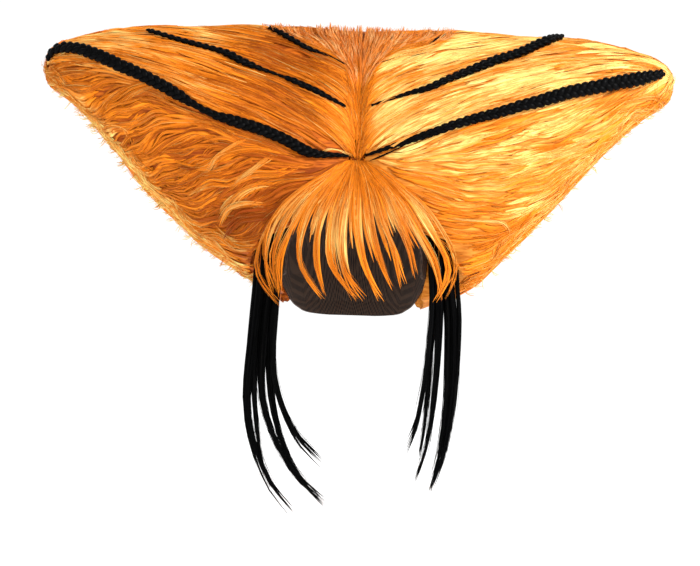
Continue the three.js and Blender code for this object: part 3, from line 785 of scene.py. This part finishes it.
def wing_front(side, wave, lengths):
    locks = []
    for x, z, root in scatter(side, 1000, True):
        loose = below_plait(side, x, z)
        length = some_mm(*lengths)
        width = some_mm(2.6, 5.6)
        lift = some_mm(0.3, 0.8 + (2.0 if side == "left" else 0.4) * loose)
        locks.append(make_lock(root, x, z, length, width, lift, turn=rng.normal(0, 7 + 7 * loose),
                               wave=(0.12 + loose) * wave * rng.uniform(0.4, 1.3),
                               fly_above=(read_table(RIM, abs(x)) - 1) * MM))
    return [lock for lock in locks if lock]


def wing_back(side):
    locks = []
    for x, z, root in scatter(side, 250, False, least=40):
        if z < -110 and abs(x) < 100:
            continue
        locks.append(make_lock(root, x, z, some_mm(55, 100), some_mm(6, 11), some_mm(0.5, 2.0),
                               turn=rng.normal(0, 5)))
    return locks


def quieter(locks):
    """The back faces away from the key lamp, so its painted highlight is made weaker."""
    locks = [lock for lock in locks if lock]
    for lock in locks:
        lock["pale"] = 0.45 * lock["pale"]
    return locks


def wing_under(side):
    """Locks on the underside. A place without room counts as a part of one, so the search ends."""
    sign, count = SIGN[side], 170
    locks = []
    while len(locks) < count:
        across, y = rng.uniform(48, 300), rng.uniform(-60, 90)
        hit, out, _, _ = skin.ray_cast(Vector((sign * across * MM, y * MM, -0.4)), Vector((0, 0, 1)))
        if not hit or in_hollow(hit) or out.z > -0.2:
            count -= 0.25
            continue
        locks.append(make_lock(hit, sign * across, hit.z / MM, some_mm(40, 75), some_mm(5, 9),
                               some_mm(0.3, 1.2), turn=rng.normal(0, 5)))
    return locks


# %% Wings
LOOKS = {
    "left": {"wave": 20, "lengths": (42, 90)},
    "right": {"wave": 8, "lengths": (34, 72)},
}
for side, look in LOOKS.items():
    front = ribbon_batch(wing_front(side, **look))
    strands = strand_batch(front, 2, 0.3 * MM, 1.3 * MM, rings=9 if side == "left" else 7)
    hair_piece(f"wing_{side}_locks", [front])
    hair_piece(f"wing_{side}_strands", [strands])
    lock_piece(f"wing_{side}_back", quieter(wing_back(side) + wing_under(side)), 1, 0.4, 1.5, rings=6)

# %% [markdown]
# ## Single locks that catch the eye
# On the left wing some locks lie loose over the others: they bend like an S, or curl up along
# the lower edge. Their routes are short tables in millimetres from the parting.

# %% Loose locks
LOOSE = [  # each route, then its width, its tone, how pale it is and its lift
    ([(-55, -7), (-75, -17), (-99, -18), (-123, -28), (-138, -26), (-152, -34)], 6, 0.6, 0.3, 3),
    ([(-65, 3), (-94, 7), (-123, 1), (-141, -11), (-152, -12), (-172, -7)], 6, 0.6, 0.35, 3),
    ([(-70, -31), (-89, -29), (-109, -37), (-123, -54), (-128, -64)], 6, 0.6, 0.6, 3),
    # The rows with a tone below 0 are dark locks laid where the left wing bends in: painted shade.
    ([(-80, -53), (-97, -55), (-112, -57), (-122, -68)], 8, -0.7, 0.0, 5),
    ([(-93, -60), (-109, -62), (-120, -70), (-125, -79)], 6, -0.7, 0.0, 5),
    ([(-100, -42), (-112, -46), (-122, -56)], 4, -0.6, 0.0, 4),
    ([(-140, -8), (-156, -14), (-170, -12)], 4, -0.4, 0.0, 4),
    ([(-94, -85), (-118, -81), (-133, -72), (-152, -73)], 5, 0.6, 0.8, 3),
    ([(-172, 72), (-194, 67), (-215, 61), (-230, 51), (-242, 46)], 5, 0.6, 0.3, 3),
    ([(-78, 1), (-94, -10), (-111, -23), (-121, -33)], 3, 0.6, 0.8, 3),
    ([(-101, -38), (-113, -40), (-123, -47), (-130, -57)], 4, 0.6, 0.8, 3),
    ([(-84, -47), (-99, -47), (-112, -49), (-123, -54), (-129, -67)], 5, 0.6, 0.9, 7),
    ([(-87, -82), (-94, -85), (-111, -86), (-123, -79), (-133, -70)], 6, 0.6, 0.9, 3),
    ([(-126, -28), (-140, -31), (-152, -36), (-159, -41)], 3, 0.6, 0.8, 3),
    ([(-101, 14), (-113, 11), (-126, 3), (-136, -6), (-141, -16), (-149, -16), (-157, -15)], 4, 0.6, 0.7, 3),
    ([(-130, -94), (-143, -87), (-152, -79), (-162, -71)], 4, 0.6, 0.7, 3),
    ([(-215, 63), (-230, 58), (-240, 51), (-246, 43), (-249, 34)], 4, 0.6, 0.6, 3),
    ([(-198, 64), (-208, 60), (-217, 56), (-222, 49)], 3, 0.6, 0.6, 3),
    ([(-220, 8), (-222, 17), (-227, 24), (-238, 27), (-249, 24)], 4, 0.6, 0.9, 3),
    ([(-196, -21), (-204, -16), (-212, -9), (-218, 3)], 4, 0.6, 0.9, 3),
    ([(-262, 84), (-280, 87), (-295, 83), (-303, 75)], 6, 0.5, 0.3, 2),
    ([(-252, 74), (-273, 77), (-292, 75), (-302, 68)], 6, 0.5, 0.3, 2),
    ([(-248, 62), (-268, 66), (-286, 65), (-299, 60)], 6, 0.5, 0.3, 2),
    ([(252, 97), (270, 99), (286, 98), (298, 93)], 6, 0.8, 0.7, 2),
    ([(248, 63), (270, 70), (288, 74), (301, 68)], 6, 0.8, 0.7, 2),
    ([(240, 50), (264, 57), (284, 60), (299, 55)], 6, 0.8, 0.6, 2),
    ([(-44, 2), (-36, 5), (-26, 7), (-14, 4), (-6, 0)], 1.4, 0.9, 1.6, 9),
    ([(22, 5), (34, 11), (46, 17), (60, 24)], 1.9, 0.6, 1.4, 15),
    ([(14, 50), (24, 55), (36, 60)], 1.2, 0.6, 1.2, 9),
    ([(18, 90), (28, 100), (42, 107), (57, 109), (70, 113), (84, 121)], 4.5, 0.85, 1.2, 4),
    ([(71, -51), (95, -54), (119, -56), (139, -56), (147, -61), (149, -69), (145, -76)], 1.5, 0.8, 1.6, 3),
]
LAID_POINTS = 14


def smooth_curve(points, count):
    """Points at even steps on a smooth curve through a few given ones, and its length."""
    points = np.array(points, dtype=float)
    padded = np.vstack([2 * points[0] - points[1], points, 2 * points[-1] - points[-2]])
    fine = []
    for i in range(len(points) - 1):
        a, b, c, d = padded[i:i + 4]
        for t in np.linspace(0, 1, 12, endpoint=False):
            square, cube = 2 * a - 5 * b + 4 * c - d, 3 * b - a - 3 * c + d
            fine.append(0.5 * (2 * b + (c - a) * t + square * t**2 + cube * t**3))
    fine.append(points[-1])
    even, _, length = resample(fine, np.ones((len(fine), 3)), count)
    return even, length


def route_on_hair(route, count):
    """A route dropped onto the skin. Off its edge, it is drawn down and inwards until it hits."""
    points, outs = [], []
    fine, _ = smooth_curve([(x, 0, z) for x, z in route], 60)
    for x, _, z in fine:
        for _ in range(40):
            hit, out = cast(x, z, True)
            if hit:
                points.append(hit)
                outs.append(out)
                break
            x, z = 0.997 * x, z - 1
    return resample(points, outs, count)


def laid_lock(route, width, tone, pale, lift):
    path, out, _ = route_on_hair(route, LAID_POINTS)
    along = np.linspace(0, 1, LAID_POINTS)
    return {"path": path, "out": out, "width": width * MM, "lift": lift * MM,
            "tone": min(tone + rng.uniform(-0.2, 0.2), 1),
            "pale": pale * rng.uniform(0.5, 1.3) * np.exp(-((along - 0.55) / 0.4) ** 2)}


def loose_locks():
    locks = []
    for route, width, tone, pale, lift in LOOSE:
        single = width < 2  # a thin route is one lock, a broad one a bundle
        for _ in range(1 if single else 4):
            shift = (0, 0) if single else rng.normal(0, 0.4 * width, 2)
            moved = [(x + shift[0], z + shift[1]) for x, z in route]
            drawn = width if single else 0.4 * width + 0.6
            locks.append(laid_lock(moved, drawn, tone, 0.55 * pale, lift * rng.uniform(0.6, 1.2)))
    return locks


lock_piece("loose_locks", loose_locks(), 4, 0.3, 1.8, rings=11)

# %% Curls on the lower edges


def edge_curls(side):
    sign = SIGN[side]
    locks = []
    for _ in range(110):
        across = rng.uniform(80, 300)
        z = read_table(HEM[side], across) + rng.uniform(3, 20)
        hit, _ = cast(sign * across, z, True)
        if not hit:
            continue
        lock = make_lock(hit, sign * across, z, some_mm(22, 48), some_mm(1.4, 3), some_mm(0.5, 4),
                         turn=sign * rng.uniform(-60, 100), wave=20, overhang=5)
        if lock:
            locks.append(lock)
    return locks


def fuzz(side, count):
    """Short hairs that stand out past the lower edge and curl up along it."""
    sign = SIGN[side]
    locks = []
    while len(locks) < count:
        across = rng.uniform(75, 296)
        hit, _ = cast(sign * across, read_table(HEM[side], across) + rng.uniform(1, 7), True)
        if not hit:
            continue
        angles = np.radians(HEM_ANGLE - 90 + rng.uniform(-45, 60) + rng.uniform(20, 130) * ALONG)
        way = np.stack([sign * np.cos(angles), np.zeros(LOCK_POINTS), np.sin(angles)], axis=1)
        path = np.array(hit) + np.cumsum(way, axis=0) * some_mm(0.6, 1.3)
        locks.append({"path": path, "out": np.tile([0, -1.0, 0], (LOCK_POINTS, 1)), "width": 3 * MM,
                      "lift": 0.5 * MM, "tone": rng.uniform(0.7, 1),
                      "pale": np.full(LOCK_POINTS, rng.uniform(0.4, 1.2))})
    return locks


for side, per_curl, hairs in (("left", 5, 190), ("right", 3, 70)):
    curls = ribbon_batch(edge_curls(side))
    strands = strand_batch(curls, per_curl, 0.3 * MM, 2.8 * MM)
    short_hairs = strand_batch(ribbon_batch(fuzz(side, hairs)), 2, 0.32 * MM, 1.5 * MM, rings=7)
    hair_piece(f"edge_curls_{side}", [curls, strands, short_hairs])

# %% [markdown]
# ## The valley and the crest
# Between the wings the hair stands up from the parting like a brush. It is narrow at the
# bottom and opens into a fan at the top, where its cut ends make a fuzzy edge. The locks here
# are walked straight up, and above the edge they leave the skin and go on freely.

# %% Crest
CREST_TOP = 125 * MM


def comb_up(place, out):
    x, _, z = place / MM
    lean = math.copysign(math.radians(50) * (abs(x) / 95) ** 1.3, x) * smoothstep((z - 50) / 50)
    way = Vector((math.sin(lean), 0, math.cos(lean)))
    way -= out * way.dot(out)
    return way.normalized()


CREST_EDGE = [(-10, 3), (60, 5), (85, 8), (95, 17), (108, 37), (114, 60), (127, 92)]


def crest_locks(count, lowest, highest, tone, paleness, lift):
    locks = []
    while len(locks) < count:
        z = lerp(lowest, highest, rng.uniform(0, 1) ** 0.5)
        x = rng.uniform(-1, 1) * read_table(CREST_EDGE, z)
        hit, _ = cast(x, z, True)
        length = min(rng.uniform(26, 62), 1.2 * (136 - z) + 14) * MM
        lock = make_lock(hit, x, z, length, some_mm(1.2, 2.6), some_mm(0.3, lift),
                         turn=rng.normal(0, 14), wave=rng.uniform(0, 10), direction=comb_up,
                         fly_above=CREST_TOP, rise=0.35)
        if lock:
            lock["tone"] = tone + rng.uniform(-0.3, 0.3)
            # Painted highlight: a pale band along each lock, strong on the crest and faint in the valley.
            lock["pale"] = paleness * rng.uniform(0, 1) * np.exp(-((ALONG - 0.6) / 0.35) ** 2)
            locks.append(lock)
    return locks


ginger = {"material": ginger_hair, "slot": "ginger_hair"}
lock_piece("crest_hair", crest_locks(340, 62, 130, 0.66, 0.8, lift=4), 4, 0.28, 2.2, rings=7, **ginger)
lock_piece("valley_hair", crest_locks(150, -10, 80, 0.72, 0.1, lift=1.6), 3, 0.3, 1.4, rings=7)

# %% Hair that rises from the parting into the wings


def parting_locks(side):
    locks = []
    for _ in range(150):
        z = rng.uniform(-16, 100) if rng.uniform() < 0.7 else rng.uniform(-16, 20)
        x = SIGN[side] * rng.uniform(0.3, 8)
        hit, _ = cast(x, z, True)
        locks.append(make_lock(hit, x, z, some_mm(45, 85), some_mm(2.5, 5), some_mm(0.6, 2.5),
                               turn=rng.normal(0, 7)))
    return [lock for lock in locks if lock]


for side in SIGN:
    lock_piece(f"parting_{side}", parting_locks(side), 3, 0.3, 1.2, rings=8)

# %% [markdown]
# ## The back of the head
# The back is combed straight down. It is plain, with broad quiet locks. The lowest ones hang
# past the edge of the hair and cover part of the cap at the nape.

# %% Back hair


def back_locks(count, lowest, highest):
    locks = []
    while len(locks) < count:
        x, z = rng.uniform(-75, 75), rng.uniform(lowest, highest)
        hit, _ = cast(x, z, False)
        if not hit:
            continue
        lock = make_lock(hit, x, z, some_mm(55, 95), some_mm(6, 10), some_mm(0.5, 2.0),
                         turn=rng.normal(0, 5), overhang=8)
        if lock and not any(in_hollow(point, size=1.04) for point in lock["path"]):
            locks.append(lock)
    return quieter(locks)


lock_piece("back_locks", back_locks(230, -90, 132) + back_locks(90, -125, -85), 1, 0.4, 1.5, rings=6)

# %% [markdown]
# ## The fringe
# The fringe fans out from the parting. It is one sheet of hair above the brow and parts into
# curved locks below it. The solid fringe follows a short table, one row for each lock, and the
# same rows place the hair here: more and finer locks are drawn between neighbouring rows.

# %% Fringe routes
FRINGE_HALF, FRINGE_DROP, FRINGE_AHEAD, FRINGE_WRAP = 97, 137, 108, 126
FRINGE_PROFILE = [  # how far ahead it lies at shares of the way down
    (0.0, 0.6), (0.1, 0.745), (0.22, 0.86), (0.36, 0.945), (0.6, 1.0), (0.8, 1.015), (1.1, 1.02)]
FRINGE_LOCKS = [  # places across at the brow, the eye and the tip, then the drop and the width in mm
    (-0.88, -0.955, -0.695, 1.07, 3.5), (-0.79, -0.885, -0.755, 0.98, 4.5),
    (-0.69, -0.795, -0.745, 0.96, 4.5), (-0.61, -0.715, -0.695, 0.99, 8.0),
    (-0.51, -0.545, -0.285, 0.99, 6.5), (-0.36, -0.365, -0.265, 0.98, 8.0),
    (-0.25, -0.225, 0.045, 1.0, 6.0), (-0.14, -0.115, 0.105, 1.0, 7.0),
    (0.02, 0.095, 0.255, 1.0, 10.0), (0.14, 0.245, 0.385, 0.92, 7.0),
    (0.27, 0.385, 0.485, 0.88, 8.0), (0.4, 0.555, 0.595, 0.84, 8.0),
    (0.57, 0.805, 0.855, 0.98, 9.0), (0.73, 0.955, 0.805, 1.0, 9.0),
    (0.84, 1.015, 0.885, 0.98, 3.5),
]
FRINGE_POINTS = 16


def fringe_depth(x, z):
    ahead = read_table(FRINGE_PROFILE, max(-z / FRINGE_DROP, 0)) * FRINGE_AHEAD
    bend = (1 - min(abs(x) / FRINGE_WRAP, 0.99) ** 2.6) ** (1 / 2.6)
    return -ahead * bend


def fringe_path(brow, eye, tip, drop, reach=1.0):
    shares = [0, 0.14, 0.3, 0.5, 0.76, 0.93, 1]
    places = [0.1 * brow, 0.4 * brow, 0.75 * brow, brow, eye, lerp(eye, tip, 0.62), tip]
    points = []
    for share, place in zip(shares, places):
        x, z = place * FRINGE_HALF, -max(share * drop, 0.012) * FRINGE_DROP
        points.append((x, fringe_depth(x, z), z))
    fine, _ = smooth_curve(points, 48)
    for _ in range(14):
        fine[1:-1] = 0.25 * fine[:-2] + 0.5 * fine[1:-1] + 0.25 * fine[2:]
    path, _ = smooth_curve(fine[: max(int(48 * reach), 6)], FRINGE_POINTS)
    out = np.stack([path[:, 0] / FRINGE_WRAP, path[:, 1] / FRINGE_AHEAD, np.full(len(path), 0.12)], axis=1)
    return path * MM, unit(out)


# %% Fringe locks


def fringe_lock(row, width, reach, lift):
    """One lock, with a painted highlight where it bends over the brow, brightest left of the middle."""
    path, out = fringe_path(*row, reach=reach)
    fallen = np.linspace(0, reach, FRINGE_POINTS)
    light = 0.6 + 0.3 * math.exp(-((row[0] + 0.05) / 0.3) ** 2) + 0.15 * smoothstep((row[0] - 0.35) / 0.2)
    glow = light * np.exp(-((fallen - rng.uniform(0.4, 0.62)) / 0.2) ** 2) * rng.uniform(0.25, 1.0)
    return {"path": path, "out": out, "width": width * MM, "lift": lift * MM,
            "tone": rng.uniform(0.4, 0.85), "pale": glow}


def fringe_locks():
    locks = []
    for row in FRINGE_LOCKS:
        *route, width = row
        for _ in range(4):
            shifted = np.array(route) + (*rng.normal(0, 0.018, 3), rng.normal(-0.02, 0.02))
            locks.append(fringe_lock(shifted, 0.6 * width, 1.0, rng.uniform(0.3, 2.2)))
    for _ in range(150):
        i = rng.integers(0, len(FRINGE_LOCKS) - 1)
        share = rng.uniform(0, 1)
        route = lerp(np.array(FRINGE_LOCKS[i][:4]), np.array(FRINGE_LOCKS[i + 1][:4]), share)
        longest = 0.84 if -0.25 < route[0] < 0.6 else 0.66
        reach = rng.uniform(0.36, longest)
        locks.append(fringe_lock(route, rng.uniform(3.5, 6.5), reach, rng.uniform(-0.6, 1.2)))
    return locks


lock_piece("fringe_hair", fringe_locks(), 4, 0.3, 1.4, rings=12, replaced=("fringe",))

# %% [markdown]
# ## The side locks
# In front of each ear hangs a straight black lock, which parts into a few pointed strands. The
# same rows as the solid's place them. Each strand is a bundle of ribbons that close up towards
# its tip.

# %% Side locks
TEMPLE_HALF, LOCK_LENGTH, LOCK_AHEAD, LOCK_ROOT = 99, 340, 50, 73
SIDE_LOCKS = {  # places across at the root, waist, knee and tip, then the drop and the width
    "left": [(0.91, 0.96, 0.995, 0.515, 1.0, 0.34), (0.86, 0.92, 0.935, 0.79, 0.9, 0.26),
             (0.8, 0.86, 0.845, 0.205, 0.965, 0.36), (0.75, 0.8, 0.75, 0.225, 0.97, 0.3),
             (0.71, 0.74, 0.735, 0.245, 0.85, 0.17)],
    "right": [(0.95, 1.015, 1.005, 0.82, 0.917, 0.4), (0.88, 0.945, 0.945, 0.8, 0.93, 0.34),
              (0.81, 0.845, 0.825, 0.66, 0.905, 0.26), (0.76, 0.795, 0.77, 0.69, 0.83, 0.15),
              (0.74, 0.775, 0.735, 0.565, 0.81, 0.13)],
}
SIDE_POINTS = 18


def side_path(side, row, index):
    root, waist, knee, tip, drop, _ = row
    sign = SIGN[side]
    spread_out = (index / 4 - 0.5) * 9
    depth = -LOCK_AHEAD + (1.8 if index % 2 else -1.8)
    shares = [(LOCK_ROOT - 10) / LOCK_LENGTH / drop, 0.36, 0.5, 0.72, 0.9, 1]
    places = [root, lerp(root, waist, 0.3), waist, knee, lerp(knee, tip, 0.42), tip]
    aheads = [-3, 2, 4 + 0.2 * spread_out, 6 + 0.5 * spread_out, 8 + spread_out, 10 + spread_out]
    points = [(sign * place * TEMPLE_HALF, depth - ahead, -share * drop * LOCK_LENGTH)
              for share, place, ahead in zip(shares, places, aheads)]
    path, _ = smooth_curve(points, SIDE_POINTS)
    return path * MM


def side_bundles(side):
    locks = []
    for index, row in enumerate(SIDE_LOCKS[side]):
        centre = side_path(side, row, index)
        along = np.linspace(0, 1, SIDE_POINTS)
        for _ in range(9):
            turn = rng.uniform(0, 2 * math.pi)
            far = math.sqrt(rng.uniform(0, 1)) * (1 - 0.9 * along**1.1)
            path = centre.copy()
            path[:, 0] += math.cos(turn) * far * row[-1] * 16 * MM
            path[:, 1] += math.sin(turn) * far * 5 * MM
            path[:, 2] *= 1 + rng.normal(0, 0.012) * along
            out = unit(np.tile([0.3 * math.cos(turn), -1 + 0.4 * math.sin(turn), 0.05], (SIDE_POINTS, 1)))
            locks.append({"path": path, "out": out, "width": some_mm(2.2, 4), "lift": 0.0,
                          "tone": rng.uniform(0, 1), "pale": np.full(SIDE_POINTS, rng.uniform(0, 0.5))})
    return locks


black = {"material": black_hair, "slot": "black_hair"}
for side in SIGN:
    lock_piece(f"side_lock_{side}_hair", side_bundles(side), 5, 0.28, 2.2, rings=14, taper=5,
               replaced=(f"side_lock_{side}",), **black)

# %% [markdown]
# ## The plaits
# A plait has three strands. Each swings from side to side over its neighbours, and dips under
# once in every turn. So each strand's path is the plait's route with a sine across it and a
# sine of twice the pace up and down. The plaits thin out towards the parting.

# %% Plaits
PLAIT_TURN = 22 * MM
PLAIT_WIDTHS = {  # widths in mm at shares of the way out from the parting
    "plait_left_low": [(0, 3.5), (0.06, 6), (0.13, 12), (0.36, 12), (0.42, 7.5), (0.47, 7), (0.53, 12),
                       (0.8, 14), (0.95, 13), (1, 9)],
    "plait_left_mid": [(0, 3), (0.14, 7), (0.27, 7), (0.33, 3), (0.4, 4.5), (0.48, 8.5), (0.57, 9.5),
                       (0.65, 7), (1, 6.5)],
    "plait_left_high": [(0, 1.6), (0.3, 3), (0.45, 6), (0.8, 7.5), (1, 6)],
    "plait_right_low": [(0, 3), (0.15, 7.5), (0.35, 11), (0.6, 13.5), (0.9, 15), (1, 9)],
    "plait_right_mid": [(0, 2.5), (0.15, 4.5), (0.3, 8.5), (0.6, 11.5), (0.9, 12), (1, 9)],
    "plait_right_high": [(0, 0.9), (0.55, 1.2), (0.8, 2.8), (1, 2.5)],
}
PLAIT_ANGLES = np.linspace(0, 2 * math.pi, 8, endpoint=False)
PLAIT_SECTION = np.array([(math.cos(a), math.sin(a)) for a in PLAIT_ANGLES])


def plait_batch(name):
    _, _, length = route_on_hair(PLAIT_ROUTES[name], 60)
    rings = int(length / (1.7 * MM))
    path, out, _ = route_on_hair(PLAIT_ROUTES[name], rings)
    shares, widths = zip(*PLAIT_WIDTHS[name])
    width = np.interp(np.linspace(0, 1, rings), shares, widths) * MM
    sides, ups = frames(path[None], out[None])
    pace = np.linspace(0, 1, rings) * length / PLAIT_TURN
    paths = []
    for strand in range(3):
        phase = 2 * math.pi * (pace + strand / 3)
        swing = 0.26 * width * np.sin(phase)
        rise = 0.13 * width * np.sin(2 * phase) + 0.24 * width + 1.5 * MM
        paths.append(path + sides[0] * swing[:, None] + ups[0] * rise[:, None])
    thick = np.tile(0.24 * width, (3, 1))
    return {"paths": np.array(paths), "outs": np.tile(out, (3, 1, 1)), "section": PLAIT_SECTION,
            "half_widths": thick * 1.05, "half_thicks": thick * 0.85,
            "tones": np.array([0.1, 0.5, 0.9]), "pales": np.tile(rng.uniform(0, 0.3, rings), (3, 1))}


for name in PLAIT_ROUTES:
    hair_piece(f"{name}_hair", [plait_batch(name)], replaced=(name,), **black)

strayed = laid_lock([(12, -1), (26, 4), (40, 10), (54, 18)], 1.8, 0.5, 0.0, 5)
hair_piece("plait_right_low_stray", [ribbon_batch([strayed])], **black)

# %% [markdown]
# ## The cap
# The cap is knitted net. It only shows from below and between the locks of the fringe, so the
# solid stays, and a fine crossed weave in its finish is enough.

# %% Cap net


def net_material(name, thread, hole):
    material, tree, shader = new_material(name, {"Roughness": 0.85})
    place = add_node(tree, "ShaderNodeTexCoord").outputs["Object"]
    waves = []
    for turn in (0.6, -0.6):
        turned = add_node(tree, "ShaderNodeMapping", {"Vector": place, "Rotation": (0, 0, turn)}).outputs[0]
        threads = {"Vector": turned, "Scale": 160.0, "Distortion": 0.4}
        waves.append(add_node(tree, "ShaderNodeTexWave", threads).outputs["Fac"])
    weave = calculate(tree, "MAXIMUM", *waves)
    finish(tree, shader, blend_color(tree, spread(tree, weave, 0.35, 0.8), hole, thread), weave, 0.5, 0.0004)
    return material


cap_net = net_material("cap_net", srgb(74, 56, 44), srgb(24, 18, 15))
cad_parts["cap"].data.materials[0] = cap_net
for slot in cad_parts["cap"].material_slots:
    slot.material = cap_net
print("cap finished")
